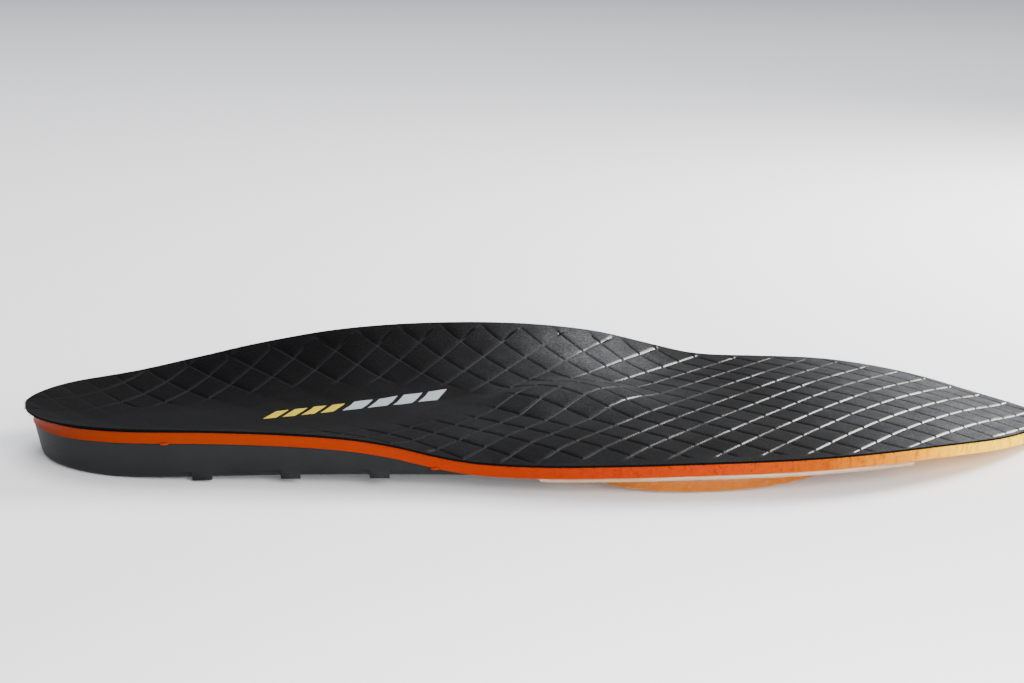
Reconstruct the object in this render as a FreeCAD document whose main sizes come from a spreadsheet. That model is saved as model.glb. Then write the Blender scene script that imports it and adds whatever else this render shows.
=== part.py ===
import FreeCAD, Part
import math
import os

# Cushioned insole for a right foot, in millimetres.
# +X points to the toe, +Y to the inner (medial) side, +Z up. The insole lies on the plane Z = 0, on the
# back of its heel and on its forefoot gel pad. The origin is under the middle of its outline.
# From the top: fabric cover, metatarsal pad, foam layer, then the heel and arch shell with its heel pad,
# and the clear carrier with the forefoot gel pad.

SIZES = {
    "length": 284.0,
    "forefoot_width": 95.0,
    "arch_height": 27.0,
    "heel_cup_height": 14.3,
    "heel_bed_height": 8.6,
    "heel_wall_run": 23.0,
    "arch_wall_run": 35.0,
    "cover_thickness": 0.8,
    "foam_thickness": 2.6,
    "bond_line": 0.1,
    "sole_contact": -116.0,
    "sole_pitch": 2.65,
    "shell_draft": 9.0,
    "shell_inset": 0.5,
    "heel_overhang": 1.9,
    "shell_block_height": 30.0,
    "shell_edge_radius": 2.0,
    "shell_front_slope": 32.0,
    "rib_spacing": 22.5,
    "rib_width": 5.0,
    "rib_depth": 0.5,
    "rib_rise": 3.0,
    "first_rib": -94.0,
    "heel_pad_length": 34.0,
    "heel_pad_width": 30.0,
    "heel_pad_depth": 2.2,
    "heel_pad_fit": 0.1,
    "heel_pad_middle": -116.5,
    "heel_pad_recess": 0.2,
    "metatarsal_pad_height": 4.2,
    "metatarsal_pad_length": 56.0,
    "metatarsal_pad_width": 36.0,
    "metatarsal_pad_taper": 0.28,
    "carrier_thickness": 1.3,
    "carrier_inset": 0.9,
    "gel_pad_length": 84.0,
    "gel_pad_width": 84.0,
    "gel_pad_middle": 44.0,
    "gel_pad_skew": 11.0,
    "print_thickness": 0.12,
    "print_bar_height": 6.0,
}

# The rim in plan, nominal size: the outer side from heel to toe, then back along the inner side.
OUTER_RIM = [(-142, 9), (-138.5, -3), (-129.5, -14), (-115, -21.5), (-92, -25), (-57, -31), (-27, -37.5),
             (2, -45), (32, -47.5), (60, -47.3), (86, -42), (112, -29), (130, -15), (139, -5)]
INNER_RIM = [(142, 4), (139, 12), (129, 21.5), (112, 33.5), (90, 43), (60, 47.5), (30, 45.5), (0, 41),
             (-30, 39.5), (-65, 40.5), (-100, 41.5), (-117, 38.5), (-130, 32), (-139, 21)]

# Heights of the rim above the table, and of the middle of the bed, along the insole.
OUTER_HEIGHTS = [(-142, 13.7), (-115, 14.6), (-75, 14.2), (-57, 13.4), (-45, 11.7), (-35, 9.5), (-25, 8.2),
                 (-12, 8.1), (10, 9.0), (55, 9.9), (82, 10.1), (100, 9.3), (120, 7.0), (142, 4.8)]
INNER_HEIGHTS = [(-142, 13.7), (-118, 14.0), (-98, 17.4), (-80, 21.4), (-57, 25.4), (-32, 27.0), (-5, 26.2),
                 (18, 22.8), (36, 17.8), (50, 14.2), (66, 13.2), (90, 12.7), (112, 10.4), (130, 6.9),
                 (142, 4.8)]
BED_HEIGHTS = [(-142, 8.8), (-110, 8.6), (-85, 9.2), (-55, 10.6), (-25, 12.0), (0, 12.7), (50, 12.6),
               (80, 12.4), (100, 11.1), (118, 8.6), (132, 5.8), (142, 4.2)]

GRID_STEP = 5.0
MARGIN = 6.0


def make_sheet(doc):
    """The spreadsheet that drives the model."""
    sheet = doc.addObject("Spreadsheet::Sheet", "Sizes")
    for row, (name, value) in enumerate(SIZES.items(), start=1):
        sheet.set(f"A{row}", name)
        sheet.set(f"B{row}", str(value))
        sheet.setAlias(f"B{row}", name)
    doc.recompute()
    return sheet


doc = FreeCAD.newDocument("Insole")
sizes = make_sheet(doc)
# The plan points and height stations hold for these sizes, and are scaled to the spreadsheet's.
NOMINAL_LENGTH, NOMINAL_WIDTH, NOMINAL_CUP, NOMINAL_ARCH = 284.0, 95.0, 14.3, 27.0
LENGTH_SCALE = sizes.length / NOMINAL_LENGTH
WIDTH_SCALE = sizes.forefoot_width / NOMINAL_WIDTH


def along(stations, x):
    """Smooth value at x through (position, value) stations, with the end values held outside them."""
    x = min(max(x / LENGTH_SCALE, stations[0][0]), stations[-1][0])
    last = len(stations) - 1
    i = next(k for k in range(last) if x <= stations[k + 1][0])
    x0, v0 = stations[i]
    x1, v1 = stations[i + 1]

    def slope(k):
        (xa, va), (xb, vb) = stations[max(k - 1, 0)], stations[min(k + 1, last)]
        return (vb - va) / (xb - xa)

    u = (x - x0) / (x1 - x0)
    hermite = (2 * u**3 - 3 * u**2 + 1, (u**3 - 2 * u**2 + u) * (x1 - x0),
               3 * u**2 - 2 * u**3, (u**3 - u**2) * (x1 - x0))
    return sum(a * b for a, b in zip(hermite, (v0, slope(i), v1, slope(i + 1))))


def closed_curve(points):
    """Closed smooth curve through points in space."""
    curve = Part.BSplineCurve()
    curve.interpolate(Points=points, PeriodicFlag=True)
    return curve


def rim_points():
    return [FreeCAD.Vector(x * LENGTH_SCALE, y * WIDTH_SCALE, 0) for x, y in OUTER_RIM + INNER_RIM]


RIM = closed_curve(rim_points())
RIM_SAMPLES = RIM.toShape().discretize(Number=361)[:-1]
HEEL_CENTRE = 8.5 * WIDTH_SCALE


def blend(a, b, t):
    """a at t = 0 to b at t = 1, level at both ends."""
    t = min(max(t, 0.0), 1.0)
    return a + (b - a) * t * t * (3 - 2 * t)


def rim_height(x, y):
    """Height of the rim next to a point, from the outer and inner stations."""
    outer = along(OUTER_HEIGHTS, x) * (sizes.heel_cup_height / NOMINAL_CUP if x < 0 else 1)
    inner = along(INNER_HEIGHTS, x) * (sizes.arch_height / NOMINAL_ARCH if -118 < x < 50 else 1)
    middle = blend(HEEL_CENTRE, 0, (x + 80) / 60)
    return blend(outer, inner, 0.5 + (y - middle) / 50)


def inside_rim(x, y):
    """Distance of a point inside the rim, negative outside."""
    best, sign = 1e9, 1
    for i, a in enumerate(RIM_SAMPLES):
        b = RIM_SAMPLES[(i + 1) % len(RIM_SAMPLES)]
        ex, ey, px, py = b.x - a.x, b.y - a.y, x - a.x, y - a.y
        u = min(max((px * ex + py * ey) / (ex * ex + ey * ey), 0), 1)
        away = math.hypot(px - u * ex, py - u * ey)
        if away < best:
            best, sign = away, 1 if ex * py - ey * px > 0 else -1
    return best * sign


def bed_height(x, y):
    """The bed without its raised rim: crowned across the forefoot, flat across the heel."""
    across = y / 40
    crown = 1.27 * across - 0.87 * across**2
    return along(BED_HEIGHTS, x) + crown * blend(0, 1, (x + 70) / 60)


def wall_run(x, y):
    """Width of the band beside the rim in which the bed rises to it."""
    arch = blend(0, 1, (x + 115) / 45) * blend(1, 0, (x - 5) / 50) * blend(0, 1, (y - 2) / 14)
    forefoot = blend(0, 1, (x + 45) / 40)
    run = sizes.heel_wall_run + (12 - sizes.heel_wall_run) * forefoot
    return run + (sizes.arch_wall_run - run) * arch


PAD_MIDDLE = (4.0, 3.0)


def pad_half_width(ahead):
    """Half the metatarsal pad's width at -1, its back, to 1, its front: a teardrop narrow at the back."""
    return sizes.metatarsal_pad_width / 2 * (1 + sizes.metatarsal_pad_taper * min(max(ahead, -1.6), 1.2))


def pad_distance(x, y):
    """Squared distance from the metatarsal pad's middle, 1 on its edge."""
    ahead = (x - PAD_MIDDLE[0]) / (sizes.metatarsal_pad_length / 2)
    return ahead**2 + ((y - PAD_MIDDLE[1]) / pad_half_width(ahead)) ** 2


def pad_rise(x, y):
    return sizes.metatarsal_pad_height * max(0.0, 1 - pad_distance(x, y)) ** 1.5


def plain_top(x, y):
    """Top of the cover without the metatarsal pad's bump."""
    bed, depth = bed_height(x, y), inside_rim(x, y) / wall_run(x, y)
    share = (1 - depth) ** 2 if 0 < depth < 1 else 1 - 2 * max(depth, -0.5) if depth <= 0 else 0.0
    return bed + (rim_height(x, y) - bed) * share


class Heights:
    """Heights of the cover's top on a grid that is a little larger than the insole."""

    def __init__(self):
        x_half, y_half = sizes.length / 2 + MARGIN, sizes.forefoot_width / 2 + MARGIN
        self.nx, self.ny = math.ceil(2 * x_half / GRID_STEP), math.ceil(2 * y_half / GRID_STEP)
        self.xs = [-x_half + 2 * x_half * i / self.nx for i in range(self.nx + 1)]
        self.ys = [-y_half + 2 * y_half * j / self.ny for j in range(self.ny + 1)]
        self.plain = [[plain_top(x, y) for y in self.ys] for x in self.xs]


HEIGHTS = Heights()


def surface(height):
    """Smooth face whose height is a function of x, y and the plain top of the cover there."""
    rows = [[FreeCAD.Vector(x, y, height(x, y, HEIGHTS.plain[i][j])) for j, y in enumerate(HEIGHTS.ys)]
            for i, x in enumerate(HEIGHTS.xs)]
    patch = Part.BSplineSurface()
    patch.interpolate(rows)
    return patch.toShape()


def under_top(depth):
    """Face at a depth under the plain top of the cover."""
    return surface(lambda x, y, top: top - depth)


def over_pad(depth):
    """Face at a depth under the top of the cover, with the metatarsal pad's bump."""
    return surface(lambda x, y, top: top - depth + pad_rise(x, y))


def feature(label, shape):
    """Computed helper shape as a document object."""
    item = doc.addObject("Part::Feature", label)
    item.Shape = shape
    return item


def slab(label, low, high):
    """Block between two faces that have the same corners in plan."""
    sides = [Part.makeRuledSurface(a, b) for a, b in zip(low.Edges, high.Edges)]
    solid = Part.makeSolid(Part.makeShell([low, high] + sides))
    if solid.Volume < 0:
        solid.reverse()
    return feature(label, solid)


def boolean(kind, label, base, tool):
    item = doc.addObject(f"Part::{kind}", label)
    item.Base, item.Tool = base, tool
    return item


def wire(label, points):
    """Closed smooth outline as a document object."""
    return feature(label, Part.Wire([closed_curve([FreeCAD.Vector(*point) for point in points]).toShape()]))


def prism(label, points, direction=(0, 0, 1), length=60.0, low=-10.0):
    """Block with a smooth closed outline, drawn at height low."""
    block = doc.addObject("Part::Extrusion", label)
    block.Base = wire(label + "Outline", [(x, y, low) for x, y in points])
    block.DirMode = "Custom"
    block.Dir = FreeCAD.Vector(*direction)
    block.LengthFwd = length
    block.Solid = True
    return block


def inset_rim(distance):
    """Points of the rim moved inwards by a distance that is a number or a function of the point."""
    moved = []
    for point in rim_points():
        along_rim = RIM.tangent(RIM.parameter(point))[0]
        step = distance(point) if callable(distance) else distance
        moved.append((point.x - along_rim.y * step, point.y + along_rim.x * step))
    return moved


COVER = sizes.cover_thickness
FOAM_TOP = COVER + sizes.bond_line
FOAM_UNDER = FOAM_TOP + sizes.foam_thickness
SUPPORT_TOP = FOAM_UNDER + sizes.bond_line
rim_block = prism("RimBlock", inset_rim(0.0))

# Fabric cover: one moulded sheet that also runs over the metatarsal pad.
cover_slab = slab("CoverSlab", over_pad(COVER), over_pad(0.0))
cover = boolean("Common", "top_cover", cover_slab, rim_block)


def heel_overhang(point):
    """How far the cover stands out over the foam and the shell: only round the back of the heel."""
    return blend(sizes.heel_overhang, 0, (point.x + 132) / 50)


# Foam layer: full length, moulded to the bed under the cover.
foam_slab = slab("FoamSlab", under_top(FOAM_UNDER), under_top(FOAM_TOP))
foam = boolean("Common", "foam_layer", foam_slab, prism("FoamBlock", inset_rim(heel_overhang)))


# Metatarsal pad: teardrop lens between foam and cover, cut off where it is too thin to handle.
def pad_outline(edge):
    """Points round the metatarsal pad where its squared distance is edge."""
    points = []
    for k in range(12):
        ahead = math.sqrt(edge) * math.cos(math.radians(30 * k))
        aside = math.sqrt(edge) * math.sin(math.radians(30 * k))
        points.append((PAD_MIDDLE[0] + ahead * sizes.metatarsal_pad_length / 2,
                       PAD_MIDDLE[1] + aside * pad_half_width(ahead)))
    return points


PAD_GAP = sizes.bond_line / 3
pad_slab = slab("MetatarsalSlab", under_top(FOAM_TOP - PAD_GAP), over_pad(COVER + PAD_GAP))
metatarsal_pad = boolean("Common", "metatarsal_pad", pad_slab, prism("MetatarsalBlock", pad_outline(0.8)))

# Heel and arch shell. Its sole is flat and tilts up to the front, its walls are drafted, and it fades out
# to the front on a slope. The back of the heel rests flat on the table.
SOLE_SLOPE = math.tan(math.radians(sizes.sole_pitch))
DRAFT = math.tan(math.radians(sizes.shell_draft))


def wall_height(point):
    """Height of the shell's wall under the rim, above its sole."""
    return rim_height(point.x, point.y) - SUPPORT_TOP - SOLE_SLOPE * (point.x - sizes.sole_contact)


def wall_inset(point, level):
    """How far inside the rim the drafted wall is, at a level above the sole."""
    return sizes.shell_inset + heel_overhang(point) + DRAFT * (wall_height(point) - level)


block_height = sizes.shell_block_height
sole_outline = wire("SoleOutline", [(x, y, 0) for x, y in inset_rim(lambda p: wall_inset(p, 0))])
brim_outline = wire("BrimOutline", [(x, y, block_height) for x, y in
                                    inset_rim(lambda p: wall_inset(p, block_height))])
tilt = FreeCAD.Placement(FreeCAD.Vector(), FreeCAD.Rotation(FreeCAD.Vector(0, 1, 0), -sizes.sole_pitch),
                         FreeCAD.Vector(sizes.sole_contact, 0, 0))
wall_block = doc.addObject("Part::Loft", "WallBlock")
wall_block.Sections = [sole_outline, brim_outline]
wall_block.Solid = True
wall_block.Ruled = True
wall_block.Placement = tilt

# The block is cut off at the table.
TABLE_LENGTH, TABLE_WIDTH, TABLE_DEPTH = 400, 200, 20
ground = doc.addObject("Part::Box", "GroundBox")
ground.Length, ground.Width, ground.Height = TABLE_LENGTH, TABLE_WIDTH, TABLE_DEPTH
ground.Placement.Base = FreeCAD.Vector(-TABLE_LENGTH / 2, -TABLE_WIDTH / 2, -TABLE_DEPTH)
flat_block = boolean("Cut", "FlatBlock", wall_block, ground)
doc.recompute()

rounded_block = doc.addObject("Part::Fillet", "RoundedBlock")
rounded_block.Base = flat_block
radius = sizes.shell_edge_radius
sole_edges = [n for n, edge in enumerate(flat_block.Shape.Edges, start=1)
              if edge.BoundBox.ZMax < block_height / 2 and edge.BoundBox.XLength > 5]
rounded_block.Edges = [(n, radius, radius) for n in sole_edges]

# Plan of the shell: behind a shallow curve that runs obliquely across the midfoot.
FRONT_EDGE = [(-24, -60), (-20, -38), (-16, -14), (-13, 8), (-8, 26), (0, 42), (8, 60)]
REAR = [(-100, 80), (-170, 60), (-180, 0), (-170, -60), (-100, -80)]
front_slope = math.radians(sizes.shell_front_slope)
ramp = (math.cos(front_slope), 0, math.sin(front_slope))
front_block = prism("FrontBlock", FRONT_EDGE + REAR, direction=ramp, length=90.0, low=0.0)
front_block.Placement = FreeCAD.Placement(FreeCAD.Vector(-10 * ramp[0], 0, -10 * ramp[2]), FreeCAD.Rotation())

low_face = surface(lambda x, y, top: -5.0)
under_slab = slab("UnderSlab", low_face, under_top(SUPPORT_TOP))
blank = boolean("Common", "ShellBlank", rounded_block, under_slab)
plain_shell = boolean("Common", "PlainShell", blank, front_block)

# Cross ribs, moulded on the sole, with ends that show as small tabs at the foot of the wall.
RIB_STAND_OUT = 0.3
rib_outline = [(x, y, -sizes.rib_depth) for x, y in inset_rim(lambda p: wall_inset(p, 0) - RIB_STAND_OUT)]
rib_limit = doc.addObject("Part::Extrusion", "RibLimit")
rib_limit.Base = wire("RibOutline", rib_outline)
rib_limit.DirMode = "Custom"
rib_limit.Dir = FreeCAD.Vector(0, 0, 1)
rib_limit.setExpression("LengthFwd", "Sizes.rib_depth + Sizes.rib_rise")
rib_limit.Solid = True
rib_limit.Placement = tilt
rib_bars = []
for k in range(3):
    bar = doc.addObject("Part::Box", f"RibBar{k + 1}")
    bar.setExpression("Length", "Sizes.rib_width")
    bar.setExpression("Width", "Sizes.forefoot_width")
    bar.setExpression("Height", "Sizes.rib_depth + Sizes.rib_rise")
    middle = sizes.first_rib + k * sizes.rib_spacing
    corner = FreeCAD.Vector(middle - sizes.rib_width / 2, -sizes.forefoot_width / 2, -sizes.rib_depth)
    bar.Placement = tilt.multiply(FreeCAD.Placement(corner, FreeCAD.Rotation()))
    rib_bars.append(boolean("Common", f"Rib{k + 1}", bar, rib_limit))
ribbed_shell = doc.addObject("Part::MultiFuse", "RibbedShell")
ribbed_shell.Shapes = [plain_shell] + rib_bars

# Heel pad: an oval insert, flush in a pocket of the sole.
def oval(label, growth, depth):
    """Upright oval block whose sizes are bound to the heel pad's cells."""
    outline = doc.addObject("Part::Ellipse", label + "Outline")
    outline.setExpression("MajorRadius", f"(Sizes.heel_pad_length + {growth}) / 2")
    outline.setExpression("MinorRadius", f"(Sizes.heel_pad_width + {growth}) / 2")
    block = doc.addObject("Part::Extrusion", label)
    block.Base = outline
    block.DirMode = "Custom"
    block.Dir = FreeCAD.Vector(0, 0, 1)
    block.setExpression("LengthFwd", depth)
    block.Solid = True
    return block


heel_pad = oval("heel_gel_pad", "0", "Sizes.heel_pad_depth")
heel_pad.Placement.Base = FreeCAD.Vector(sizes.heel_pad_middle, HEEL_CENTRE, sizes.heel_pad_recess)
pocket = oval("HeelPocket", "2 * Sizes.heel_pad_fit", "Sizes.heel_pad_depth + Sizes.bond_line + 1")
pocket.Placement.Base = FreeCAD.Vector(sizes.heel_pad_middle, HEEL_CENTRE, sizes.heel_pad_recess - 1)
shell = boolean("Cut", "support_shell", ribbed_shell, pocket)

# Clear carrier under the forefoot, and the gel pad cast on it.
CARRIER_UNDER = SUPPORT_TOP + sizes.carrier_thickness
GEL_TOP = CARRIER_UNDER + sizes.bond_line
CARRIER_ENDS = [(-12, -60), (-8, -36), (2, -10), (15, 14), (30, 36), (44, 60), (104, 60), (101, 34), (95, 6),
                (90, -20), (88, -38), (88, -60)]
carrier_slab = slab("CarrierSlab", under_top(CARRIER_UNDER), under_top(SUPPORT_TOP))
carrier_blank = boolean("Common", "CarrierBlank", carrier_slab,
                        prism("CarrierRim", inset_rim(sizes.carrier_inset)))
carrier = boolean("Common", "gel_carrier", carrier_blank, prism("CarrierEnds", CARRIER_ENDS))
# Middle of the gel pad across the foot, and how much its underside curls up at its outer and its inner side.
GEL_SIDE = -2.0
OUTER_CURL, INNER_CURL = 0.15, 1.0


def gel_position(x, y):
    """Position in the gel pad's skewed oval: -1 to 1 along and across."""
    across = (y - GEL_SIDE) / (sizes.gel_pad_width / 2)
    return (x - sizes.gel_pad_middle - sizes.gel_pad_skew * across) / (sizes.gel_pad_length / 2), across


def gel_underside(x, y, top):
    """A lens along the foot, nearly flat across it, that just reaches the table. Its outer side stays thick."""
    ahead, across = gel_position(x, y)
    share = abs(ahead) ** 2.2 + (INNER_CURL if across > 0 else OUTER_CURL) * across**8
    return (top - GEL_TOP) * 0.94 * share / (1 + share**5) ** 0.2 + 0.02


gel_outline = []
for k in range(24):
    turn = math.radians(15 * k)
    ahead = math.copysign(abs(math.cos(turn)) ** 0.9, math.cos(turn))
    across = math.copysign(abs(math.sin(turn)) ** 0.4, math.sin(turn))
    half_length = 0.95 * sizes.gel_pad_length / 2
    gel_outline.append((sizes.gel_pad_middle + sizes.gel_pad_skew * across + ahead * half_length,
                        0.985 * across * sizes.gel_pad_width / 2 + GEL_SIDE))
gel_slab = slab("GelSlab", surface(gel_underside), under_top(GEL_TOP))
gel_pad = boolean("Common", "forefoot_gel_pad", gel_slab, prism("GelBlock", gel_outline))

# Heat-transfer print in the heel: plain slanted bars in two colours, along a line across the arch side.
PRINT_START = (-79.0, 5.0)
PRINT_TURN = math.radians(7.5)


def print_bars(label, first, count, width, gap):
    """Slanted bars, as upright blocks: first is the distance of the first one along the print."""
    lean = 0.35 * sizes.print_bar_height
    half = sizes.print_bar_height / 2
    blocks = []
    for k in range(count):
        left = first + k * (width + gap)
        corners = [(left - lean, -half), (left + width - lean, -half), (left + width + lean, half),
                   (left + lean, half)]
        points = [FreeCAD.Vector(PRINT_START[0] + u * math.cos(PRINT_TURN) - v * math.sin(PRINT_TURN),
                                 PRINT_START[1] + u * math.sin(PRINT_TURN) + v * math.cos(PRINT_TURN), 0)
                  for u, v in corners]
        outline = Part.makePolygon(points + points[:1])
        blocks.append(Part.Face(outline).extrude(FreeCAD.Vector(0, 0, 40)))
    return feature(label, Part.makeCompound(blocks))


film = slab("PrintFilm", over_pad(-0.02), over_pad(-0.02 - sizes.print_thickness))
yellow = boolean("Common", "heel_print_yellow", film, print_bars("YellowBars", 2.0, 4, 3.4, 1.8))
grey = boolean("Common", "heel_print_grey", film, print_bars("GreyBars", 23.6, 4, 5.2, 1.8))

doc.recompute()
PIECES = [cover, metatarsal_pad, foam, shell, heel_pad, carrier, gel_pad, yellow, grey]
for item in doc.Objects:
    if "Invalid" in item.State or "Error" in item.State:
        raise RuntimeError(f"{item.Label} failed: {item.State}")
for piece in PIECES:
    if piece.Shape.isNull() or not piece.Shape.isValid() or piece.Shape.Volume <= 0:
        raise RuntimeError(f"{piece.Label} has no valid shape")

os.makedirs("parts", exist_ok=True)
for piece in PIECES:
    piece.Shape.exportStep(f"parts/{piece.Label}.step")
    print(piece.Label, round(piece.Shape.Volume), "cubic mm")
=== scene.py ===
import math

import bmesh
import bpy
import numpy as np
from mathutils import Matrix, Vector
from mathutils.bvhtree import BVHTree
from mathutils.geometry import convex_hull_2d, delaunay_2d_cdt


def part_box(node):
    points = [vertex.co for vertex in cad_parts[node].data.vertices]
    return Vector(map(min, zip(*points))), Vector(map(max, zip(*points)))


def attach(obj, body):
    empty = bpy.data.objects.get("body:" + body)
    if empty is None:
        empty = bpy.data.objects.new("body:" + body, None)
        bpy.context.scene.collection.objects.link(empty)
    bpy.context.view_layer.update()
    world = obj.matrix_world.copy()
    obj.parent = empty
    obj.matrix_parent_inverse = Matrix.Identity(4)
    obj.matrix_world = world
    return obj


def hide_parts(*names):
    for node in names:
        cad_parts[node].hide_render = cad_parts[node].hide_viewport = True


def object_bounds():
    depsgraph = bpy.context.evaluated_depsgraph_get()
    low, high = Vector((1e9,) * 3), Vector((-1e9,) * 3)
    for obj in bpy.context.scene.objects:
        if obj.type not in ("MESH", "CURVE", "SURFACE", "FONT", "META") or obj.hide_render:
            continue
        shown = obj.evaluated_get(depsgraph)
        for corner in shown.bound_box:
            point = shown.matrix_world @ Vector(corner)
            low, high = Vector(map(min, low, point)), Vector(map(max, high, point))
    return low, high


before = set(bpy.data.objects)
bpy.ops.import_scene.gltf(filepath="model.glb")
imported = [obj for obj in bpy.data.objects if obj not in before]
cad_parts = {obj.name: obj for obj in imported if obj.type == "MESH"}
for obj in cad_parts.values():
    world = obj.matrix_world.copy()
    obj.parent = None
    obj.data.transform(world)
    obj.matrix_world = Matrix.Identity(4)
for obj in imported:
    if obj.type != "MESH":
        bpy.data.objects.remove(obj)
CAD_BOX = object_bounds()

# Cushioned insole, right foot. Metres, +X to the toe, +Y to the arch side, the table at Z = 0.
MM = 0.001

# The grid pressed into the cover: two families of grooves, turned this much either way from the foot's axis.
# The pitch runs along a groove from crossing to crossing, the gap across from groove to groove.
GROOVE_TURN = math.radians(42)
GROOVE_PITCH = 8.07 * MM
GROOVE_GAP = GROOVE_PITCH * math.sin(2 * GROOVE_TURN)
GROOVE_WIDTH = 1.15 * MM
GROOVE_DEPTH = 0.5 * MM
GROOVE_CROSSING = (13.7 * MM, -20.0 * MM)

COVER_THICKNESS = 0.55 * MM
PRINT_THICKNESS = 0.1 * MM
SEED = 7

# Rays that read a surface start this far above or below the table, and this far inside the rim.
RAY_START = 0.1
RIM_INSET = 0.25 * MM
# Points closer than this are one point.
WELD = 1e-6


# ---------------------------------------------------------------- shapes read from the frame

def points_of(mesh):
    """A mesh's vertices as an array."""
    co = np.zeros(len(mesh.vertices) * 3, np.float32)
    mesh.vertices.foreach_get("co", co)
    return co.reshape(-1, 3).astype(float)


def tree_of(mesh):
    return BVHTree.FromPolygons([v.co for v in mesh.vertices], [tuple(p.vertices) for p in mesh.polygons])


def outward(rim):
    """Unit vectors out of an anticlockwise rim."""
    ahead = np.roll(rim, -1, axis=0) - np.roll(rim, 1, axis=0)
    out = np.column_stack([ahead[:, 1], -ahead[:, 0]])
    return out / np.linalg.norm(out, axis=1, keepdims=True)


def heights(tree, plan, rim_count, above=True):
    """Height of a surface over plan points, seen from above or from below. The rim is read just inside it."""
    start, way = (RAY_START, Vector((0, 0, -1))) if above else (-RAY_START, Vector((0, 0, 1)))
    at = plan.copy()
    at[:rim_count] -= outward(plan[:rim_count]) * RIM_INSET
    found = np.empty(len(plan))
    for i, (x, y) in enumerate(at):
        place = tree.ray_cast(Vector((x, y, start)), way)[0]
        if place is None:
            place = tree.find_nearest(Vector((x, y, 0.01)))[0]
        found[i] = place.z
    return found


def smoothed(knots, step):
    """Points a step apart on the closed Catmull-Rom curve through the knots."""
    before, after, further = (np.roll(knots, k, axis=0) for k in (1, -1, -2))
    u = np.linspace(0, 1, 8, endpoint=False)[:, None, None]
    curve = 0.5 * (2 * knots + (after - before) * u + (2 * before - 5 * knots + 4 * after - further) * u**2
                   + (3 * knots - before - 3 * after + further) * u**3)
    curve = curve.transpose(1, 0, 2).reshape(-1, 2)
    closed = np.vstack([curve, curve[:1]])
    along = np.concatenate([[0], np.cumsum(np.linalg.norm(np.diff(closed, axis=0), axis=1))])
    at = np.linspace(0, along[-1], int(along[-1] / step), endpoint=False)
    return np.stack([np.interp(at, along, closed[:, k]) for k in (0, 1)], axis=1)


class Outline:
    """Closed outline in plan, its points anticlockwise."""

    def __init__(self, points):
        self.points = points

    @classmethod
    def of_node(cls, node, step=0.8 * MM):
        """Smooth outline of a node, with points about a step apart, through the corners of its walls."""
        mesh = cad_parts[node].data
        walls = {i for p in mesh.polygons if abs(p.normal.z) < 0.2 for i in p.vertices}
        plan = points_of(mesh)[sorted(walls), :2]
        middle = (plan.min(0) + plan.max(0)) / 2
        plan = plan[np.argsort(np.arctan2(*(plan - middle).T[::-1]))]
        gap = np.linalg.norm(np.diff(plan, axis=0, prepend=plan[-1:]), axis=1)
        return cls(smoothed(plan[gap > 0.4 * MM], step))

    def inside(self, plan):
        """Distance of points inside the outline, negative outside; -10 mm beyond its box."""
        a, edge = self.points, np.roll(self.points, -1, axis=0) - self.points
        long = np.maximum((edge**2).sum(1), 1e-16)
        result = np.full(len(plan), -10 * MM)
        near = np.flatnonzero(((plan > a.min(0)) & (plan < a.max(0))).all(1))
        batch = 3000
        for first in range(0, len(near), batch):
            rows = near[first:first + batch]
            p = plan[rows, None] - a
            u = np.clip((p * edge).sum(2) / long, 0, 1)
            away = p - u[..., None] * edge
            square = (away**2).sum(2)
            k = square.argmin(1)
            each = np.arange(len(k))
            side = np.sign(edge[k, 0] * p[each, k, 1] - edge[k, 1] * p[each, k, 0])
            result[rows] = side * np.sqrt(square[each, k])
        return result


# ---------------------------------------------------------------- meshes

def square_grid(low, high, step):
    """Plan points of a square grid over a box."""
    xs = np.arange(low[0], high[0], step)
    ys = np.arange(low[1], high[1], step)
    return np.stack(np.meshgrid(xs, ys, indexing="ij"), axis=2)


def groove_grid(low, high, cuts):
    """Plan points whose rows and columns follow the two families of grooves; cuts are places in one cell."""
    reach = int(max(high[0] - low[0], high[1] - low[1]) / GROOVE_PITCH) + 2
    steps = np.concatenate([i * GROOVE_PITCH + np.array(cuts) for i in range(-reach, reach)])
    along_a = np.array([math.cos(GROOVE_TURN), math.sin(GROOVE_TURN)])
    along_b = np.array([math.cos(GROOVE_TURN), -math.sin(GROOVE_TURN)])
    return np.array(GROOVE_CROSSING) + steps[:, None, None] * along_b + steps[None, :, None] * along_a


def filled(outline, points, margin):
    """Triangles over the plan inside an outline, through the grid points that are a margin inside it.
    Gives the plan, with the rim's points first, and the faces. Rows and columns of the grid stay edges, and
    points in no triangle are dropped."""
    rim = outline.points
    kept = outline.inside(points.reshape(-1, 2)).reshape(points.shape[:2]) > margin
    number = np.full(kept.shape, -1)
    number[kept] = np.arange(kept.sum()) + len(rim)
    edges = [(i, (i + 1) % len(rim)) for i in range(len(rim))]
    for a, b in ((number[:-1], number[1:]), (number[:, :-1], number[:, 1:])):
        both = (a >= 0) & (b >= 0)
        edges += list(zip(a[both].tolist(), b[both].tolist()))
    plan = np.vstack([rim, points[kept]])
    made = delaunay_2d_cdt([Vector(p) for p in plan], edges, [], 1, 1e-8)
    plan = np.array([tuple(p) for p in made[0]])
    faces = np.array([list(f) for f in made[2]])
    a, b, c = (plan[faces[:, k]] for k in (0, 1, 2))
    turned = (b[:, 0] - a[:, 0]) * (c[:, 1] - a[:, 1]) - (b[:, 1] - a[:, 1]) * (c[:, 0] - a[:, 0]) < 0
    faces[turned] = faces[turned][:, ::-1]
    used = np.unique(faces)
    return plan[used], np.searchsorted(used, faces).tolist()


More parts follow.
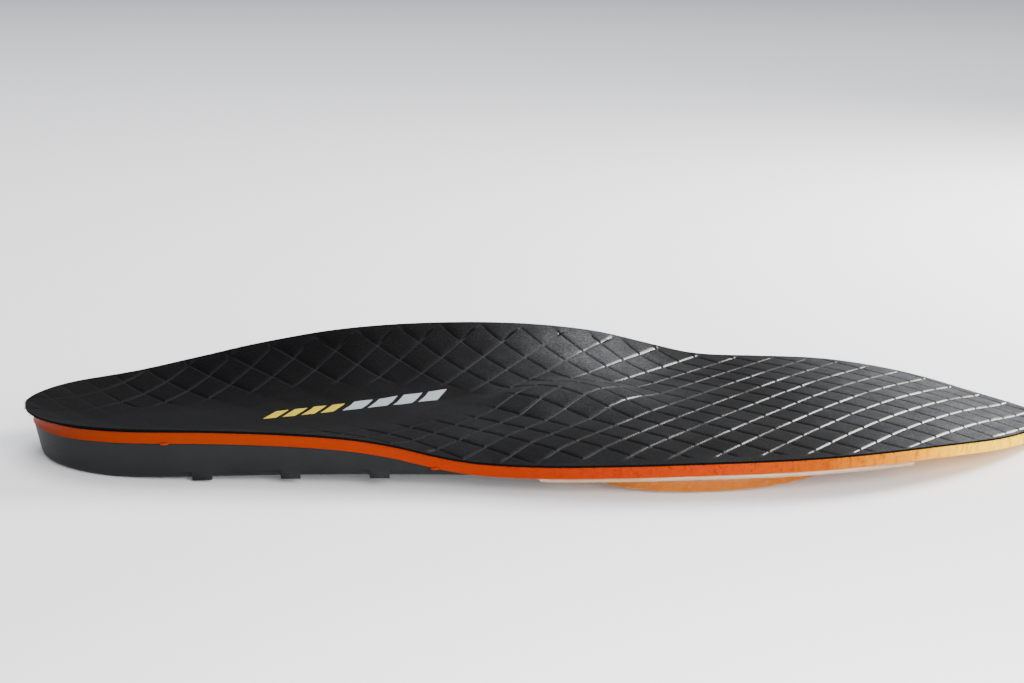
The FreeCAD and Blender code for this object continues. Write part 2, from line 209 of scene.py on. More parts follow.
def evened(values, plan, faces, rim_count, rounds):
    """Values on plan points, each moved towards its neighbours' a few times. Near ones count more, so that a
    straight slope stays straight. Rim points only look along the rim."""
    faces = np.array(faces)
    sides = np.vstack([faces[:, [0, 1]], faces[:, [1, 2]], faces[:, [2, 0]]])
    edges = np.unique(np.sort(sides, axis=1), axis=0)
    a, b = edges.T
    near = 1 / np.linalg.norm(plan[a] - plan[b], axis=1)
    count = len(values)
    total = np.bincount(a, near, count) + np.bincount(b, near, count)
    for _ in range(rounds):
        pull = near * (values[b] - values[a])
        smooth = values + 0.5 * (np.bincount(a, pull, count) - np.bincount(b, pull, count)) / total
        rim = values[:rim_count]
        smooth[:rim_count] = 0.5 * rim + 0.25 * (np.roll(rim, 1) + np.roll(rim, -1))
        values = smooth
    return values


def surface_of(node, plan, faces, rim_count, above=True, rounds=12):
    """Even heights of a CAD node's upper or lower surface."""
    tree = tree_of(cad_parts[node].data)
    return evened(heights(tree, plan, rim_count, above), plan, faces, rim_count, rounds)


def new_piece(name, vertices, faces, material, smooth_angle=35.0):
    mesh = bpy.data.meshes.new(name)
    mesh.from_pydata(vertices, [], faces)
    mesh.update()
    mesh.materials.append(material)
    mesh.shade_smooth()
    mesh.set_sharp_from_angle(angle=math.radians(smooth_angle))
    piece = bpy.data.objects.new(name, mesh)
    bpy.context.scene.collection.objects.link(piece)
    return piece


def moulded_layer(name, upper, lower, rim_count, material, rows=1, bulge=None):
    """Closed solid between two surfaces with the same rim, each given as its plan, faces and heights.
    The wall has rows of faces; bulge(rim points, share down the wall) is how far it stands out there."""
    (plan, faces, top), (plan_below, faces_below, bottom) = upper, lower
    rim = plan[:rim_count]
    out = outward(rim)
    vertices = [np.column_stack([plan, top]), np.column_stack([plan_below, bottom])]
    base = len(plan)
    solid = list(faces) + [[v + base for v in face[::-1]] for face in faces_below]
    levels = [np.arange(rim_count)]
    for row in range(1, rows):
        share = row / rows
        away = bulge(rim, share)[:, None]
        level = top[:rim_count] * (1 - share) + bottom[:rim_count] * share
        levels.append(sum(len(v) for v in vertices) + np.arange(rim_count))
        vertices.append(np.column_stack([rim + out * away, level]))
    levels.append(base + np.arange(rim_count))
    for over, under in zip(levels, levels[1:]):
        solid += np.column_stack([over, under, np.roll(under, -1), np.roll(over, -1)]).tolist()
    return new_piece(name, np.vstack(vertices), solid, material)


def welded(node, name, material, smooth_angle=30.0):
    """A piece with the same shape as a CAD node, its triangles joined up."""
    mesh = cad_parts[node].data.copy()
    shape = bmesh.new()
    shape.from_mesh(mesh)
    bmesh.ops.remove_doubles(shape, verts=shape.verts, dist=WELD)
    bmesh.ops.dissolve_degenerate(shape, edges=shape.edges, dist=WELD)
    shape.to_mesh(mesh)
    shape.free()
    mesh.name = name
    mesh.materials.clear()
    mesh.materials.append(material)
    mesh.shade_smooth()
    mesh.set_sharp_from_angle(angle=math.radians(smooth_angle))
    piece = bpy.data.objects.new(name, mesh)
    bpy.context.scene.collection.objects.link(piece)
    return piece


def set_attribute(piece, name, values):
    """Float attribute on the piece's points; points beyond the values get 0."""
    full = np.zeros(len(piece.data.vertices), np.float32)
    full[:len(values)] = values
    piece.data.attributes.new(name, "FLOAT", "POINT").data.foreach_set("value", full)


def noise(points, size, seed):
    """Smooth value noise between -1 and 1 over plan or space points, with features of a size.
    Each cell corner gets its value from its whole coordinates and the seed, mixed with large primes."""
    points = np.atleast_2d(points) / size
    cell = np.floor(points).astype(np.int64)
    part = points - cell
    part = part * part * (3 - 2 * part)
    total = np.zeros(len(points))
    for corner in range(2 ** points.shape[1]):
        bits = [(corner >> k) & 1 for k in range(points.shape[1])]
        mixed = np.full(len(points), seed, np.int64)
        weight = np.ones(len(points))
        for k, bit in enumerate(bits):
            mixed = (mixed * 73856093) ^ ((cell[:, k] + bit) * (19349663 + 7919 * k))
            weight *= part[:, k] if bit else 1 - part[:, k]
        total += weight * ((np.abs(mixed * 2654435761) >> 8) % 65536 / 32767.5 - 1)
    return total


def rise(value, low, high):
    """0 below low, 1 above high, smooth between."""
    u = np.clip((value - low) / (high - low), 0, 1)
    return u * u * (3 - 2 * u)


# ---------------------------------------------------------------- materials

def colour(code):
    """sRGB hex to linear RGBA."""
    channels = [int(code[i:i + 2], 16) / 255 for i in (1, 3, 5)]
    return [c / 12.92 if c <= 0.04045 else ((c + 0.055) / 1.055) ** 2.4 for c in channels] + [1.0]


def add(tree, kind, inputs=(), output=0, stops=(), **settings):
    """Adds a node with its settings, inputs and colour stops, and gives one of its outputs.
    Inputs go in order or by name; each is a value, a hex colour or an output to link from."""
    node = tree.nodes.new(kind)
    for key, value in settings.items():
        setattr(node, key, value)
    for key, value in (inputs.items() if isinstance(inputs, dict) else enumerate(inputs)):
        if isinstance(value, bpy.types.NodeSocket):
            tree.links.new(value, node.inputs[key])
        elif value is not None:
            node.inputs[key].default_value = colour(value) if str(value)[0] == "#" else value
    for number, (place, code) in enumerate(stops):
        elements = node.color_ramp.elements
        element = elements[number] if number < 2 else elements.new(place)
        element.position = place
        element.color = colour(code)
    return node.outputs[output]


MATH, RAMP, SPAN, NOISE, MIX = ("ShaderNodeMath", "ShaderNodeValToRGB", "ShaderNodeMapRange",
                                "ShaderNodeTexNoise", "ShaderNodeMix")


def new_material(name, constants):
    """A material with constants on its shader: its tree, its shader's inputs and its Object coordinates."""
    material = bpy.data.materials.new(name)
    material.use_nodes = True
    tree = material.node_tree
    sockets = tree.nodes["Principled BSDF"].inputs
    for socket, value in constants.items():
        sockets[socket].default_value = value
    return material, tree, sockets, add(tree, "ShaderNodeTexCoord", output="Object")


def brushed_microfibre():
    """Polyester microfibre, napped: charcoal black, with painted sheen: lightened to grey, in soft patches,
    where light would glance off the nap. Where the heated tool pressed its grid the nap is melted flat and
    dark, and one family of grooves is glazed."""
    material, tree, sockets, place = new_material("brushed_microfibre", {
        "Specular IOR Level": 0.04, "Coat Roughness": 0.22,
        "Sheen Weight": 0.02, "Sheen Roughness": 0.45, "Sheen Tint": colour("#C8CBD0")})
    nap = add(tree, NOISE, {"Vector": place, "Scale": 1 / (0.5 * MM), "Detail": 3.0, "Roughness": 0.65})
    patch = add(tree, NOISE, {"Vector": place, "Scale": 1 / (7 * MM), "Detail": 3.0, "Roughness": 0.55})
    pressed = add(tree, "ShaderNodeAttribute", output="Fac", attribute_name="pressed")
    # The mask of painted sheen: how far each point of the cloth is painted lighter grey.
    painted_sheen = add(tree, "ShaderNodeAttribute", output="Fac", attribute_name="raised_nap")
    cloth = add(tree, RAMP, [nap], stops=[(0.25, "#030303"), (0.55, "#080809"), (0.85, "#131314")])
    # Painted highlight: the grey that stands for light glancing off the nap.
    painted_sheen_grey = add(tree, RAMP, [nap], stops=[(0.25, "#2C2D2E"), (0.55, "#4A4B4D"), (0.9, "#76787B")])
    patchy = add(tree, SPAN, [patch, 0.25, 0.75, 0.55, 1.2])
    share = add(tree, MATH, [painted_sheen, patchy], operation="MULTIPLY", use_clamp=True)
    base = add(tree, MIX, {0: share, 6: cloth, 7: painted_sheen_grey}, output=2, data_type="RGBA")
    flat = add(tree, MATH, [pressed, 0.85], operation="MULTIPLY")
    base = add(tree, MIX, {0: flat, 6: base, 7: "#0C0C0D"}, output=2, data_type="RGBA")
    tree.links.new(base, sockets["Base Color"])
    tree.links.new(add(tree, SPAN, [pressed, 0.0, 1.0, 0.8, 0.3]), sockets["Roughness"])
    melted = add(tree, "ShaderNodeAttribute", output="Fac", attribute_name="melted")
    glazed = add(tree, "ShaderNodeAttribute", output="Fac", attribute_name="glazed")
    tree.links.new(add(tree, MATH, [glazed, melted], operation="MULTIPLY"), sockets["Coat Weight"])
    tree.links.new(add(tree, "ShaderNodeBump", {"Height": nap, "Distance": 0.16 * MM}), sockets["Normal"])
    return material


def cut_foam():
    """Open-cell polyurethane foam, dyed orange: matte, with pores where the die cut it at the forefoot and
    a smooth moulded skin at the heel. Its colour runs from dark orange at the heel to light amber at the toe;
    the lightening towards the toe is painted light, standing for light shining through the thin foam.
    The pores are drawn darker with painted shade."""
    material, tree, sockets, place = new_material("cut_polyurethane_foam", {
        "Specular IOR Level": 0.06, "Subsurface Weight": 0.12, "Subsurface Radius": (0.004, 0.0016, 0.0006),
        "Subsurface Scale": 0.6})
    along = add(tree, "ShaderNodeSeparateXYZ", [place], output="X")
    share = add(tree, SPAN, [along, CAD_BOX[0][0], CAD_BOX[1][0]])
    # Painted light: the ramp lightens the orange to amber and yellow towards the toe, standing for light
    # shining through the thin foam; the dark orange at the heel end is the foam's own colour.
    dye_and_painted_glow = add(tree, RAMP, [share], stops=[
        (0.0, "#7E2A04"), (1.0, "#FFD220"), (0.44, "#8E2500"), (0.54, "#982A00"), (0.62, "#A33000"),
        (0.71, "#A04600"), (0.8, "#CC7E00"), (0.87, "#FFBE00")])
    cells_at = add(tree, "ShaderNodeMapping", {"Vector": place, "Scale": (1.0, 1.0, 0.45)})
    cells = add(tree, "ShaderNodeTexVoronoi", {"Vector": cells_at, "Scale": 1 / (0.55 * MM)},
                output="Distance")
    mottle = add(tree, NOISE, {"Vector": cells_at, "Scale": 1 / (1.6 * MM), "Detail": 3.0, "Roughness": 0.6})
    cut = add(tree, SPAN, [along, -35 * MM, 20 * MM, 0.12, 1.0])
    pores = add(tree, MATH, [add(tree, SPAN, [cells, 0.25, 0.0]), cut], operation="MULTIPLY", use_clamp=True)
    blotch = add(tree, MATH, [add(tree, SPAN, [mottle, 0.5, 0.78, 0.0, 0.7]), cut], operation="MULTIPLY",
                 use_clamp=True)
    base = add(tree, MIX, {0: blotch, 6: dye_and_painted_glow, 7: "#7C1E02"}, output=2, data_type="RGBA")
    # Painted shade: the pores are drawn dark brown, standing for the shade inside them.
    dark = add(tree, MATH, [pores, 0.5], operation="MULTIPLY")
    base = add(tree, MIX, {0: dark, 6: base, 7: "#4A1202"}, output=2, data_type="RGBA")
    tree.links.new(base, sockets["Base Color"])
    tree.links.new(add(tree, SPAN, [cut, 0.12, 1.0, 0.5, 0.85]), sockets["Roughness"])
    mottle = add(tree, MATH, [mottle, 0.6], operation="MULTIPLY")
    height = add(tree, MATH, [mottle, pores], operation="SUBTRACT")
    height = add(tree, MATH, [height, cut], operation="MULTIPLY")
    tree.links.new(add(tree, "ShaderNodeBump", {"Height": height, "Distance": 0.25 * MM}), sockets["Normal"])
    return material


def moulded_eva():
    """Compression-moulded EVA foam, dark grey: a closed satin skin, with fine grain and faint flow marks."""
    material, tree, sockets, place = new_material("moulded_eva", {"Specular IOR Level": 0.12})
    grain = add(tree, NOISE, {"Vector": place, "Scale": 1 / (0.35 * MM), "Detail": 2.0})
    flow = add(tree, NOISE, {"Vector": place, "Scale": 1 / (14 * MM), "Detail": 3.0})
    tree.links.new(add(tree, RAMP, [flow], stops=[(0.3, "#1B1C1D"), (0.7, "#212223")]), sockets["Base Color"])
    tree.links.new(add(tree, SPAN, [grain, 0.3, 0.7, 0.46, 0.6]), sockets["Roughness"])
    height = add(tree, MATH, [flow, 2.0, grain], operation="MULTIPLY_ADD")
    tree.links.new(add(tree, "ShaderNodeBump", {"Height": height, "Distance": 0.035 * MM}), sockets["Normal"])
    return material


def amber_gel():
    """Soft polyurethane gel, tinted amber: cloudy, so light spreads inside it, under a smooth tacky skin."""
    material, tree, sockets, place = new_material("amber_polyurethane_gel", {
        "IOR": 1.46, "Subsurface Weight": 0.6, "Subsurface Radius": (0.01, 0.005, 0.002),
        "Subsurface Scale": 0.5, "Specular IOR Level": 0.35})
    cloud = add(tree, NOISE, {"Vector": place, "Scale": 1 / (18 * MM), "Detail": 2.0})
    skin = add(tree, NOISE, {"Vector": place, "Scale": 1 / (2.5 * MM), "Detail": 2.0})
    tint = add(tree, RAMP, [cloud], stops=[(0.3, "#A55A08"), (0.7, "#AA6010")])
    tree.links.new(tint, sockets["Base Color"])
    tree.links.new(add(tree, SPAN, [skin, 0.3, 0.7, 0.2, 0.32]), sockets["Roughness"])
    return material


def clear_polyurethane():
    """Cast polyurethane film, half clear: milky and warm, with a smooth glossy skin."""
    material, tree, sockets, place = new_material("clear_polyurethane", {
        "IOR": 1.49, "Transmission Weight": 0.5})
    haze = add(tree, NOISE, {"Vector": place, "Scale": 1 / (5 * MM), "Detail": 2.0})
    tree.links.new(add(tree, RAMP, [haze], stops=[(0.3, "#D8B48A"), (0.7, "#E4C6A4")]), sockets["Base Color"])
    tree.links.new(add(tree, SPAN, [haze, 0.3, 0.7, 0.1, 0.15]), sockets["Roughness"])
    return material


def latex_foam():
    """Latex foam of the hidden metatarsal pad: matte grey with fine pores."""
    material, tree, sockets, place = new_material("latex_foam", {"Roughness": 0.9})
    cells = add(tree, "ShaderNodeTexVoronoi", {"Vector": place, "Scale": 1 / (0.9 * MM)}, output="Distance")
    # Painted shade: the grey is darker in the middle of each pore, standing for the shade inside it.
    grey = add(tree, RAMP, [cells], stops=[(0.0, "#3E3E40"), (0.4, "#626265")])
    tree.links.new(grey, sockets["Base Color"])
    tree.links.new(add(tree, "ShaderNodeBump", {"Height": cells, "Distance": 0.2 * MM}), sockets["Normal"])
    return material


def transfer_film(name, thin, thick):
    """Heat-transfer ink film: flat and slightly satin, with the nap showing through as fine darker dots."""
    material, tree, sockets, place = new_material(name, {"Roughness": 0.5, "Specular IOR Level": 0.4})
    wear = add(tree, NOISE, {"Vector": place, "Scale": 1 / (0.45 * MM), "Detail": 3.0, "Roughness": 0.7})
    tree.links.new(add(tree, RAMP, [wear], stops=[(0.3, thin), (0.42, thick)]), sockets["Base Color"])
    tree.links.new(add(tree, "ShaderNodeBump", {"Height": wear, "Distance": 0.05 * MM}), sockets["Normal"])
    return material


MATERIALS = {
    "cover_fabric": brushed_microfibre(),
    "orange_foam": cut_foam(),
    "shell_foam": moulded_eva(),
    "amber_gel": amber_gel(),
    "clear_carrier": clear_polyurethane(),
    "pad_foam": latex_foam(),
    "yellow_print": transfer_film("yellow_transfer_film", "#5A4E08", "#B8A00A"),
    "grey_print": transfer_film("grey_transfer_film", "#4A4E50", "#8E9598"),
}


def finish_piece(piece, slot, *nodes):
    """The piece rides on the insole and stands for CAD nodes, which it hides. The slot is not used."""
    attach(piece, "root")
    if nodes:
        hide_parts(*nodes)
    return piece


# ---------------------------------------------------------------- Geometry Nodes

def modifier_tree(name, inputs):
    """A geometry node tree with named inputs (name, socket kind, value): with its inputs and its output."""
    tree = bpy.data.node_groups.new(name, "GeometryNodeTree")
    tree.interface.new_socket("Geometry", in_out="INPUT", socket_type="NodeSocketGeometry")
    tree.interface.new_socket("Geometry", in_out="OUTPUT", socket_type="NodeSocketGeometry")
    for label, kind, value in inputs:
        tree.interface.new_socket(label, in_out="INPUT", socket_type=kind).default_value = value
    return tree, tree.nodes.new("NodeGroupInput").outputs, tree.nodes.new("NodeGroupOutput").inputs[0]


def run_nodes(piece, tree):
    """Evaluates a tree on a piece and keeps the result as its plain mesh."""
    modifier = piece.modifiers.new(tree.name, "NODES")
    modifier.node_group = tree
    for item in tree.interface.items_tree:
        if item.in_out == "INPUT" and item.name != "Geometry":
            value = item.default_value
            modifier[item.identifier] = tuple(value) if hasattr(value, "__len__") else value
    evaluated = piece.evaluated_get(bpy.context.evaluated_depsgraph_get())
    mesh = bpy.data.meshes.new_from_object(evaluated)
    piece.modifiers.clear()
    old, piece.data = piece.data, mesh
    bpy.data.meshes.remove(old)
    mesh.name = piece.name


def pressed_grid(material):
    """Presses two families of parallel grooves into a surface, as far as its point attribute "pressure",
    0 to 1, says. "pressed" keeps how deep each point went, and "glazed" the first family's part of it."""
    tree, given, out = modifier_tree("pressed_grid", [
        ("Turn", "NodeSocketFloat", GROOVE_TURN), ("Gap", "NodeSocketFloat", GROOVE_GAP),
        ("Width", "NodeSocketFloat", GROOVE_WIDTH), ("Depth", "NodeSocketFloat", GROOVE_DEPTH),
        ("Crossing", "NodeSocketVector", (*GROOVE_CROSSING, 0))])
    place = add(tree, "GeometryNodeInputPosition")
    offset = add(tree, "ShaderNodeVectorMath", [place, given["Crossing"]], operation="SUBTRACT")
    pressure = add(tree, "GeometryNodeInputNamedAttribute", ["pressure"], data_type="FLOAT")
    half = add(tree, MATH, [given["Gap"], 0.5], operation="MULTIPLY")
    less = add(tree, MATH, [half, -1.0], operation="MULTIPLY")
    profiles = []
    for side in (-1.0, 1.0):
        turn = add(tree, MATH, [given["Turn"], side], operation="MULTIPLY")
        across = add(tree, "ShaderNodeCombineXYZ", [add(tree, MATH, [turn], operation="SINE"),
                                                    add(tree, MATH, [turn], operation="COSINE")])
        away = add(tree, "ShaderNodeVectorMath", [offset, across], output="Value", operation="DOT_PRODUCT")
        wrapped = add(tree, MATH, [away, half, less], operation="WRAP")
        near = add(tree, MATH, [wrapped, given["Width"]], operation="DIVIDE")
        square = add(tree, MATH, [near, near], operation="MULTIPLY")
        profiles.append(add(tree, MATH, [add(tree, MATH, [square, -7.0], operation="MULTIPLY")],
                            operation="EXPONENT"))
    groove = add(tree, MATH, profiles, operation="MAXIMUM")
    groove = add(tree, MATH, [groove, pressure], operation="MULTIPLY")
    deep = add(tree, MATH, [groove, given["Depth"]], operation="MULTIPLY")
    down = add(tree, "ShaderNodeCombineXYZ", {"Z": add(tree, MATH, [deep, -1.0], operation="MULTIPLY")})
    moved = add(tree, "GeometryNodeSetPosition", {"Geometry": given["Geometry"], "Offset": down})
    first_family = add(tree, MATH, [profiles[0], pressure], operation="MULTIPLY")
    stored = moved
    for name, value in (("pressed", groove), ("glazed", first_family)):
        stored = add(tree, "GeometryNodeStoreNamedAttribute", {
            "Geometry": stored, "Name": name, "Value": value}, data_type="FLOAT", domain="POINT")
    real = add(tree, "GeometryNodeRealizeInstances", [stored])
    tree.links.new(add(tree, "GeometryNodeSetMaterial", {"Geometry": real, "Material": material}), out)
    return tree


def cut_fuzz(material):
    """Short fibres that stand out of a cut edge, as fine cones scattered over it."""
    tree, given, out = modifier_tree("cut_fuzz", [
        ("Per Square Metre", "NodeSocketFloat", 7.5e6), ("Length", "NodeSocketFloat", 0.9 * MM),
        ("Thickness", "NodeSocketFloat", 0.045 * MM), ("Lean", "NodeSocketFloat", 0.9),
        ("Seed", "NodeSocketInt", SEED)])
    scatter = tree.nodes.new("GeometryNodeDistributePointsOnFaces")
    tree.links.new(given["Geometry"], scatter.inputs["Mesh"])
    tree.links.new(given["Per Square Metre"], scatter.inputs["Density"])
    tree.links.new(given["Seed"], scatter.inputs["Seed"])
    fibre = add(tree, "GeometryNodeMeshCone", {"Vertices": 4, "Radius Top": 0.006 * MM,
                                               "Radius Bottom": given["Thickness"], "Depth": given["Length"]})
    most = add(tree, "ShaderNodeCombineXYZ", [given["Lean"]] * 3)
    least = add(tree, "ShaderNodeVectorMath", {0: most, "Scale": -1.0}, operation="SCALE")
    lean = add(tree, "FunctionNodeRandomValue", {0: least, 1: most, "Seed": given["Seed"]},
               data_type="FLOAT_VECTOR")
    turned = add(tree, "FunctionNodeRotateEuler", {0: scatter.outputs["Rotation"], "Rotate By": lean})
    scale = add(tree, "FunctionNodeRandomValue", {2: 0.35, 3: 1.1, "Seed": given["Seed"]}, output=1)
    fibres = add(tree, "GeometryNodeInstanceOnPoints", {
        "Points": scatter.outputs["Points"], "Instance": fibre, "Rotation": turned, "Scale": scale})
    real = add(tree, "GeometryNodeRealizeInstances", [fibres])
    tree.links.new(add(tree, "GeometryNodeSetMaterial", {"Geometry": real, "Material": material}), out)
    return tree


# ---------------------------------------------------------------- pieces

def span_of(node):
    low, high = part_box(node)
    return low[:2], high[:2]


# The cover. In plan its grid's rows and columns lie along the grooves, close together where the surface
# dips: these are their places in one cell, from a groove's middle to the next.
CELL_CUTS = [c * MM for c in (0, 0.2, 0.42, 0.66, 0.95, 2.6, 5.4, 7.12, 7.41, 7.65, 7.87)]
RAGGED = 0.12 * MM


def ragged(at, share):
    """The cut edge of the cloth wavers a little."""
    return RAGGED * noise(np.column_stack([at, np.full(len(at), share * MM)]), 0.8 * MM, SEED + 3)


cover_outline = Outline.of_node("top_cover")
rim_count = len(cover_outline.points)
low, high = span_of("top_cover")
below, faces_below = filled(cover_outline, square_grid(low, high, 2.5 * MM), 1.0 * MM)
base = surface_of("top_cover", below, faces_below, rim_count, rounds=2) - COVER_THICKNESS
plan, faces = filled(cover_outline, groove_grid(low, high, CELL_CUTS), 0.3 * MM)
top = surface_of("top_cover", plan, faces, rim_count)
base[:rim_count] = top[:rim_count] - COVER_THICKNESS
cover = moulded_layer("cover", (plan, faces, top), (below, faces_below, base), rim_count,
                      MATERIALS["cover_fabric"], 4, ragged)

# How hard the tool presses, in millimetres along and across the insole: not at the rim nor on the plain oval
# that holds the print, lightly up the back of the heel, and further from the rim on the outer forefoot.
HEEL_OVAL_MIDDLE, HEEL_OVAL_HALF = (-75, 4), (62, 19)
x, y = plan.T / MM
depth_in = cover_outline.inside(plan * 0.9999) / MM
from_oval = np.hypot((x - HEEL_OVAL_MIDDLE[0]) / HEEL_OVAL_HALF[0],
                     (y - HEEL_OVAL_MIDDLE[1]) / HEEL_OVAL_HALF[1])
heel_back = 1 - rise(x, -128, -112)
outer_forefoot = (1 - rise(np.abs(x - 25), 30, 44)) * (1 - rise(y, -14, 0))
pressure = rise(depth_in, 0.2, 1.6)
pressure *= rise(from_oval, 0.93, 1.1)
pressure *= 1 - 0.75 * heel_back
pressure *= 1 - outer_forefoot * (1 - rise(depth_in, 2.6, 4.2))
pressure *= 0.86 + 0.14 * noise(plan, 9 * MM, SEED)
set_attribute(cover, "pressure", pressure)


def patch(middle, spread):
    """1 in the middle of a soft oval patch, in millimetres, fading to 0 around it."""
    return np.exp(-(((x - middle[0]) / spread[0]) ** 2 + ((y - middle[1]) / spread[1]) ** 2))


# Painted sheen: the cloth is drawn lighter grey where light glances off it, at the toe, on the metatarsal
# bump and on the front of the arch, and stays dark in the heel, which the light misses.
toe = rise(x, 55, 125)
bump = patch((16, 6), (22, 17))
arch = patch((18, 36), (20, 14))
painted_sheen = np.clip(0.06 + 0.94 * toe + 0.25 * bump + 0.8 * arch + 0.06 * noise(plan, 12 * MM, SEED + 1), 0, 1)
painted_sheen *= 0.2 + 0.8 * rise(x, -70, 0)
set_attribute(cover, "raised_nap", painted_sheen)
# The grooves are glazed most from the middle of the insole to the toe.
set_attribute(cover, "melted", 0.1 + 0.75 * rise(x, -35, 20))
run_nodes(cover, pressed_grid(MATERIALS["cover_fabric"]))
finish_piece(cover, "cover_fabric", "top_cover")

# Fuzz on the cover's cut edge, grown from a plain band.
ring = np.arange(rim_count)
following = np.roll(ring, -1)
band = np.column_stack([ring, ring + rim_count, following + rim_count, following]).tolist()
edge = np.column_stack([plan[:rim_count], top[:rim_count]])
fuzz = new_piece("cover_fuzz", np.vstack([edge, edge - (0, 0, COVER_THICKNESS)]), band,
                 MATERIALS["cover_fabric"])
run_nodes(fuzz, cut_fuzz(MATERIALS["cover_fabric"]))
finish_piece(fuzz, "cover_fabric")


# The foam: smooth and slightly hollow where the mould shaped it at the heel, rough where it is die-cut.
HOLLOW = -0.28 * MM
TEAR = 0.16 * MM
FOAM_WALL = 3.2 * MM


def foam_edge(at, share):
    cut = rise(at[:, 0] / MM, -40, 10)
    down = np.full(len(at), share * FOAM_WALL)
    torn = TEAR * noise(np.column_stack([at, down]), 0.9 * MM, SEED + 2) * cut
    return HOLLOW * math.sin(math.pi * share) * (1 - cut) + torn


# Its top keeps at least this far below the cover's underside.
CLEARANCE = 0.03 * MM
foam_outline = Outline.of_node("foam_layer", 0.55 * MM)
rim_count = len(foam_outline.points)
plan, faces = filled(foam_outline, square_grid(*span_of("foam_layer"), 1.1 * MM), 0.4 * MM)
top = surface_of("foam_layer", plan, faces, rim_count, rounds=3)
under_cover = heights(tree_of(cover.data), plan, rim_count, above=False)
top = np.minimum(top + 0.3 * MM, under_cover - CLEARANCE)
bottom = surface_of("foam_layer", plan, faces, rim_count, above=False, rounds=3)
foam = moulded_layer("foam", (plan, faces, top), (plan, faces, bottom), rim_count,
                     MATERIALS["orange_foam"], 8, foam_edge)
finish_piece(foam, "orange_foam", "foam_layer")


# Two nibs of flash that the mould left on the foam's lower edge.
NIB_SIZE = (1.1 * MM, 0.6 * MM, 0.35 * MM)


def flash_nibs(at_x):
    """Small flattened lumps on the foam's outer side, half in its lower edge."""
    lower = plan[:rim_count]
    vertices, solid = [], []
    for place in at_x:
        near = np.argmin(np.abs(lower[:, 0] - place) + (lower[:, 1] > 0))
        middle = np.append(lower[near], bottom[near])
        ball = bmesh.new()
        bmesh.ops.create_icosphere(ball, subdivisions=3, radius=1.0)
        points = np.array([v.co[:] for v in ball.verts])
        points *= (1 + 0.25 * noise(points, 0.7, SEED + int(place)))[:, None]
        solid += [[v.index + len(vertices) * len(points) for v in f.verts] for f in ball.faces]
        ball.free()
        vertices.append(points * NIB_SIZE + middle)
    return new_piece("flash_nibs", np.vstack(vertices), solid, MATERIALS["orange_foam"], 180)


finish_piece(flash_nibs((-103 * MM, -35 * MM)), "orange_foam")

# The shell, the pads and the clear carrier.
shell = welded("support_shell", "shell", MATERIALS["shell_foam"])
finish_piece(shell, "shell_foam", "support_shell")

# Node, piece, slot, mesh step and how far the wall bulges, both in millimetres.
LAYERS = [
    ("gel_carrier", "carrier", "clear_carrier", 1.0, 0.35),
    ("forefoot_gel_pad", "forefoot_gel", "amber_gel", 1.0, 0.4),
    ("heel_gel_pad", "heel_gel", "amber_gel", 0.8, 0.15),
    ("metatarsal_pad", "metatarsal_foam", "pad_foam", 1.0, 0.0),
]
for node, name, slot, step, crown in LAYERS:
    outline = Outline.of_node(node, step * 0.7 * MM)
    plan, faces = filled(outline, square_grid(*span_of(node), step * MM), 0.4 * MM)
    rim_count = len(outline.points)
    top = surface_of(node, plan, faces, rim_count)
    bottom = np.minimum(surface_of(node, plan, faces, rim_count, above=False), top - 0.05 * MM)

    def rounded(at, share, crown=crown):
        return np.full(len(at), crown * MM * math.sin(math.pi * share))

    piece = moulded_layer(name, (plan, faces, top), (plan, faces, bottom), rim_count, MATERIALS[slot], 4,
                          rounded)
    finish_piece(piece, slot, node)


# The print: thin bars of film laid over the finished cover.
def islands(node):
    """Plan outlines of a node's separate upright blocks, anticlockwise."""
    shape = bmesh.new()
    shape.from_mesh(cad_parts[node].data)
    bmesh.ops.remove_doubles(shape, verts=shape.verts, dist=WELD)
    left = set(shape.verts)
    while left:
        found, edge = set(), {left.pop()}
        while edge:
            found |= edge
            edge = {e.other_vert(v) for v in edge for e in v.link_edges} - found
        left -= found
        plan = np.array([v.co[:2] for v in found])
        yield plan[convex_hull_2d([Vector(p) for p in plan])]
    shape.free()


def divided(corners, step):
    """Points about a step apart along the sides of a polygon, with its corners."""
    sides = [np.linspace(a, b, max(2, int(np.linalg.norm(b - a) / step)), endpoint=False)
             for a, b in zip(corners, np.roll(corners, -1, axis=0))]
    return np.vstack(sides)


PRINT_PROUD = 0.07 * MM
cover_tree = tree_of(cover.data)
for node, name, slot in (("heel_print_yellow", "yellow_bars", "yellow_print"),
                         ("heel_print_grey", "grey_bars", "grey_print")):
    vertices, solid = [], []
    for corners in islands(node):
        outline = Outline(divided(corners, 0.4 * MM))
        plan, faces = filled(outline, square_grid(corners.min(0), corners.max(0), 0.5 * MM), 0.15 * MM)
        rim_count = len(outline.points)
        top = heights(cover_tree, plan, rim_count) + PRINT_PROUD
        bar = moulded_layer("bar", (plan, faces, top), (plan, faces, top - PRINT_THICKNESS), rim_count,
                            MATERIALS[slot])
        first = sum(len(v) for v in vertices)
        vertices.append(points_of(bar.data))
        solid += [[v + first for v in p.vertices] for p in bar.data.polygons]
        bpy.data.objects.remove(bar)
    bars = new_piece(name, np.vstack(vertices), solid, MATERIALS[slot])
    finish_piece(bars, slot, node)


# ---------------------------------------------------------------- floor, light and camera

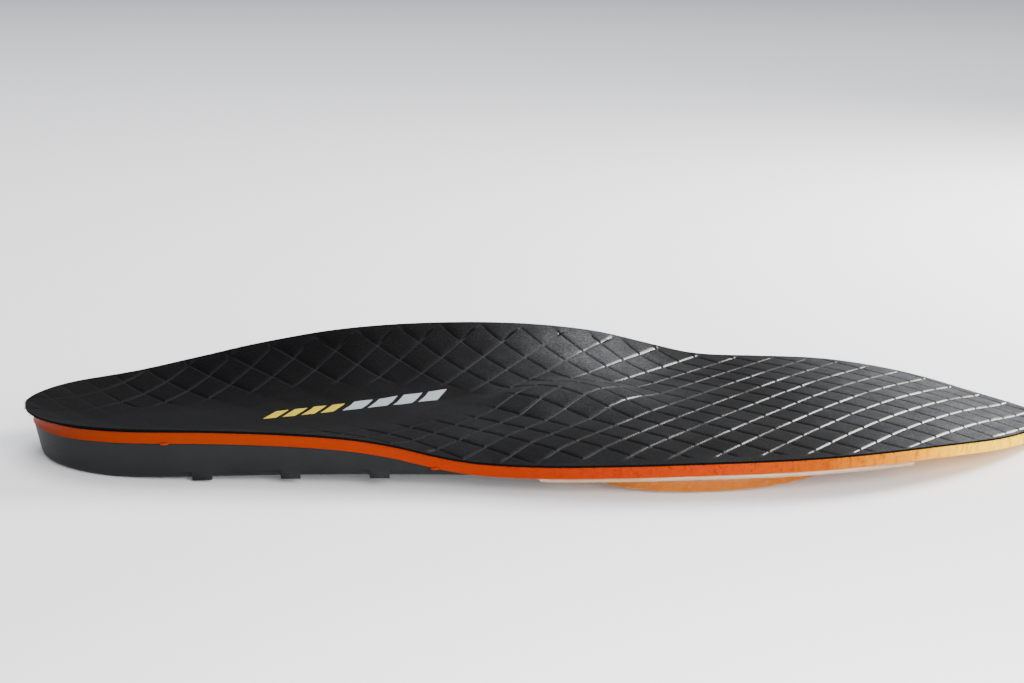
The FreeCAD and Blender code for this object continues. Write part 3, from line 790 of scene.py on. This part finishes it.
def light_table():
    """Opal acrylic floor, matte white, with a painted glow: the floor itself emits light, most in a patch in
    front of the insole, fading out around it.
    """
    material, tree, sockets, place = new_material("opal_acrylic", {
        "Roughness": 0.8, "Specular IOR Level": 0.1})
    tooth = add(tree, NOISE, {"Vector": place, "Scale": 1 / (3 * MM), "Detail": 2.0})
    white = add(tree, RAMP, [tooth], stops=[(0.3, "#F2F2F3"), (0.7, "#F6F6F7")])
    tree.links.new(white, sockets["Base Color"])
    # Painted pool of light: the floor's own glow is strongest around this point in front of the insole and
    # fades to little within about a third of a metre.
    glow_middle = (0.06, -0.36)
    moved = add(tree, "ShaderNodeMapping", {"Vector": place, "Location": (-glow_middle[0], -glow_middle[1], 0.0)})
    away = add(tree, "ShaderNodeVectorMath", [moved], output="Value", operation="LENGTH")
    glow = add(tree, SPAN, {"Value": away, "From Min": 0.1, "From Max": 0.34, "To Min": 1.8, "To Max": 0.1},
               interpolation_type="SMOOTHSTEP")
    sockets["Emission Color"].default_value = colour("#FDFDFF")
    tree.links.new(glow, sockets["Emission Strength"])
    return material


FLOOR = 4.0
corners = [(-FLOOR, -FLOOR, 0), (FLOOR, -FLOOR, 0), (FLOOR, FLOOR, 0), (-FLOOR, FLOOR, 0)]
floor = new_piece("floor", corners, [[0, 1, 2, 3]], light_table())


def area_light(name, target, way, distance, size, power, tint):
    """Square soft light that shines on a target from a direction."""
    lamp = bpy.data.lights.new(name, "AREA")
    lamp.shape = "SQUARE"
    lamp.size = size
    lamp.energy = power
    lamp.color = colour(tint)[:3]
    light = bpy.data.objects.new(name, lamp)
    bpy.context.scene.collection.objects.link(light)
    way = Vector(way).normalized()
    light.location = Vector(target) + way * distance
    light.rotation_euler = way.to_track_quat("Z", "Y").to_euler()


# Name, target, direction, distance, size, watts and tint.
area_light("key", (0.06, 0.0, 0.0), (0.8, 0.38, 0.5), 0.75, 0.3, 15.0, "#FFFCF6")
area_light("top", (0.0, 0.0, 0.0), (-0.1, 0.1, 1.0), 1.3, 1.2, 7.0, "#F6F7FF")
area_light("fill", (0.14, -0.1, 0.0), (0.35, -0.9, 0.42), 1.1, 0.9, 26.0, "#FFFDFA")
area_light("wash", (0.1, 0.9, 0.0), (0.0, 0.0, 1.0), 2.0, 1.5, 30.0, "#F6F7FC")

world = bpy.data.worlds.new("studio")
world.use_nodes = True
background = world.node_tree.nodes["Background"].inputs
background["Color"].default_value = colour("#C9CBD2")
background["Strength"].default_value = 0.75
bpy.context.scene.world = world

# The camera stands at the outer side, a little above the insole and turned slightly towards the toe.
CAMERA_PLACE = (-0.0689, -0.4564, 0.1398)
lens = bpy.data.cameras.new("camera")
lens.lens = 61.5
lens.sensor_width = 36.0
camera = bpy.data.objects.new("camera", lens)
bpy.context.scene.collection.objects.link(camera)
aim = Vector((0.1197, 0.9650, -0.2320)).normalized()
right = Vector((0.9924, -0.1231, 0.0120)).normalized()
camera.matrix_world = Matrix.Translation(CAMERA_PLACE) @ Matrix(
    (right, right.cross(aim), -aim)).transposed().to_4x4()
bpy.context.scene.camera = camera
